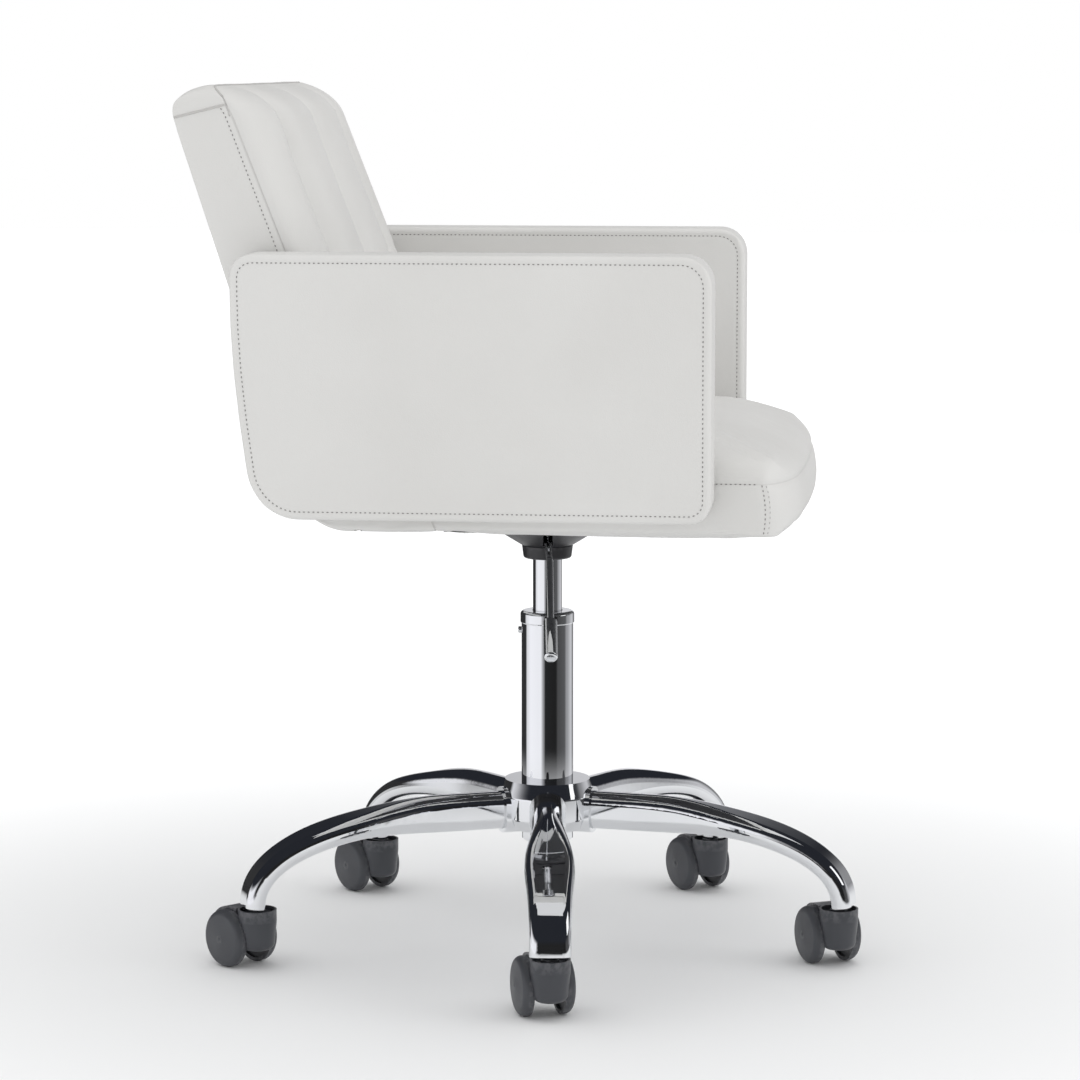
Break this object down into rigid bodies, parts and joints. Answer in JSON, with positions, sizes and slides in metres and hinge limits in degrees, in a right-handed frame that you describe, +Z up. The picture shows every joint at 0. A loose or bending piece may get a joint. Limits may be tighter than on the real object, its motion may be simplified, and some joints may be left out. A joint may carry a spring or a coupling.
{
  "type": "rolling salon armchair",
  "caption": "Low-backed rolling salon armchair: padded seat between slab arms, gas-lift column with side lever, arched swaged-tube star base and hooded castors.",
  "frame": {"origin": "on the floor, under the column's axis, where the chair stands", "axes": "+Z up along the column; the sitter faces -Y; the sitter's right, with the release lever, is -X"},
  "size_m": [0.6136, 0.6225, 0.834],
  "materials": {
    "chrome": "polished",
    "steel": "satin",
    "black_plastic": "satin",
    "castor_plastic": "satin",
    "wheel_nylon": "satin",
    "plywood": "matte",
    "dust_cloth": "matte",
    "white_leather": "satin"
  },
  "bodies": {
    "base": {"hub": "chrome", "leg_1": "chrome", "leg_2": "chrome", "leg_3": "chrome", "leg_4": "chrome", "leg_5": "chrome", "stem_bush_1": "chrome", "stem_bush_2": "chrome", "stem_bush_3": "chrome", "stem_bush_4": "chrome", "stem_bush_5": "chrome", "column_tube": "chrome", "thrust_bearing": "steel", "guide_bush": "black_plastic", "column_cap": "chrome", "clamp_screw": "chrome"},
    "lift_rod": {"piston_rod": "steel", "rod_clip": "steel"},
    "seat": {"gas_cylinder": "chrome", "seat_collar": "black_plastic", "dish_cover": "black_plastic", "carrier": "steel", "lever_pin": "steel", "seat_board": "plywood", "dust_cover": "dust_cloth", "seat_cushion": "white_leather", "back_cushion": "white_leather", "back_board": "plywood", "rear_panel": "white_leather", "back_rail": "white_leather", "arm_right": "white_leather", "arm_left": "white_leather"},
    "lever": {"release_lever": "chrome", "lever_handle": "chrome"},
    "button": {"release_button": "steel"},
    "castor_1": {"castor_1_housing": "castor_plastic", "castor_1_stem": "steel", "castor_1_axle": "steel"},
    "castor_1_left": {"castor_1_wheel_left": "wheel_nylon"},
    "castor_1_right": {"castor_1_wheel_right": "wheel_nylon"},
    "castor_2": {"castor_2_housing": "castor_plastic", "castor_2_stem": "steel", "castor_2_axle": "steel"},
    "castor_2_left": {"castor_2_wheel_left": "wheel_nylon"},
    "castor_2_right": {"castor_2_wheel_right": "wheel_nylon"},
    "castor_3": {"castor_3_housing": "castor_plastic", "castor_3_stem": "steel", "castor_3_axle": "steel"},
    "castor_3_left": {"castor_3_wheel_left": "wheel_nylon"},
    "castor_3_right": {"castor_3_wheel_right": "wheel_nylon"},
    "castor_4": {"castor_4_housing": "castor_plastic", "castor_4_stem": "steel", "castor_4_axle": "steel"},
    "castor_4_left": {"castor_4_wheel_left": "wheel_nylon"},
    "castor_4_right": {"castor_4_wheel_right": "wheel_nylon"},
    "castor_5": {"castor_5_housing": "castor_plastic", "castor_5_stem": "steel", "castor_5_axle": "steel"},
    "castor_5_left": {"castor_5_wheel_left": "wheel_nylon"},
    "castor_5_right": {"castor_5_wheel_right": "wheel_nylon"}
  },
  "joints": [
    {"name": "seat_swivel", "type": "hinge", "parent": "base", "child": "lift_rod", "pos_m": [0, 0, 0.11], "axis": [0, 0, 1], "continuous": true},
    {"name": "seat_height", "type": "slide", "parent": "lift_rod", "child": "seat", "axis": [0, 0, 1], "range_m": [-0.05, 0.07]},
    {"name": "lever_lift", "type": "hinge", "parent": "seat", "child": "lever", "pos_m": [-0.02979, -0.0035, 0.4165], "axis": [-0.1167, 0.9932, 0], "range_deg": [0, 6], "stiffness_Nm_per_rad": 0.6, "springref_deg": -17.19},
    {"name": "button_press", "type": "slide", "parent": "seat", "child": "button", "axis": [0, 0, -1], "range_m": [0, 0.0036]},
    {"name": "castor_1_swivel", "type": "hinge", "parent": "base", "child": "castor_1", "pos_m": [-0.28814, -0.03283, 0.06], "axis": [0, 0, 1], "continuous": true},
    {"name": "castor_1_roll_left", "type": "hinge", "parent": "castor_1", "child": "castor_1_left", "pos_m": [-0.26489, -0.02363, 0.0275], "axis": [-0.3681, 0.9298, 0], "continuous": true},
    {"name": "castor_1_roll_right", "type": "hinge", "parent": "castor_1", "child": "castor_1_right", "pos_m": [-0.26489, -0.02363, 0.0275], "axis": [-0.3681, 0.9298, 0], "continuous": true},
    {"name": "castor_2_swivel", "type": "hinge", "parent": "base", "child": "castor_2", "pos_m": [-0.05782, -0.28418, 0.06], "axis": [0, 0, 1], "continuous": true},
    {"name": "castor_2_roll_left", "type": "hinge", "parent": "castor_2", "child": "castor_2_left", "pos_m": [-0.03537, -0.27318, 0.0275], "axis": [-0.4399, 0.898, 0], "continuous": true},
    {"name": "castor_2_roll_right", "type": "hinge", "parent": "castor_2", "child": "castor_2_right", "pos_m": [-0.03537, -0.27318, 0.0275], "axis": [-0.4399, 0.898, 0], "continuous": true},
    {"name": "castor_3_swivel", "type": "hinge", "parent": "base", "child": "castor_3", "pos_m": [0.2524, -0.1428, 0.06], "axis": [0, 0, 1], "continuous": true},
    {"name": "castor_3_roll_left", "type": "hinge", "parent": "castor_3", "child": "castor_3_left", "pos_m": [0.27291, -0.1285, 0.0275], "axis": [-0.5721, 0.8202, 0], "continuous": true},
    {"name": "castor_3_roll_right", "type": "hinge", "parent": "castor_3", "child": "castor_3_right", "pos_m": [0.27291, -0.1285, 0.0275], "axis": [-0.5721, 0.8202, 0], "continuous": true},
    {"name": "castor_4_swivel", "type": "hinge", "parent": "base", "child": "castor_4", "pos_m": [0.21381, 0.19592, 0.06], "axis": [0, 0, 1], "continuous": true},
    {"name": "castor_4_roll_left", "type": "hinge", "parent": "castor_4", "child": "castor_4_left", "pos_m": [0.23192, 0.21316, 0.0275], "axis": [-0.6896, 0.7242, 0], "continuous": true},
    {"name": "castor_4_roll_right", "type": "hinge", "parent": "castor_4", "child": "castor_4_right", "pos_m": [0.23192, 0.21316, 0.0275], "axis": [-0.6896, 0.7242, 0], "continuous": true},
    {"name": "castor_5_swivel", "type": "hinge", "parent": "base", "child": "castor_5", "pos_m": [-0.12026, 0.26389, 0.06], "axis": [0, 0, 1], "continuous": true},
    {"name": "castor_5_roll_left", "type": "hinge", "parent": "castor_5", "child": "castor_5_left", "pos_m": [-0.10379, 0.2827, 0.0275], "axis": [-0.7524, 0.6587, 0], "continuous": true},
    {"name": "castor_5_roll_right", "type": "hinge", "parent": "castor_5", "child": "castor_5_right", "pos_m": [-0.10379, 0.2827, 0.0275], "axis": [-0.7524, 0.6587, 0], "continuous": true}
  ],
  "couplings": [
    {"joint": "button_press", "follows": "lever_lift", "m_per_rad": 0.033}
  ]
}
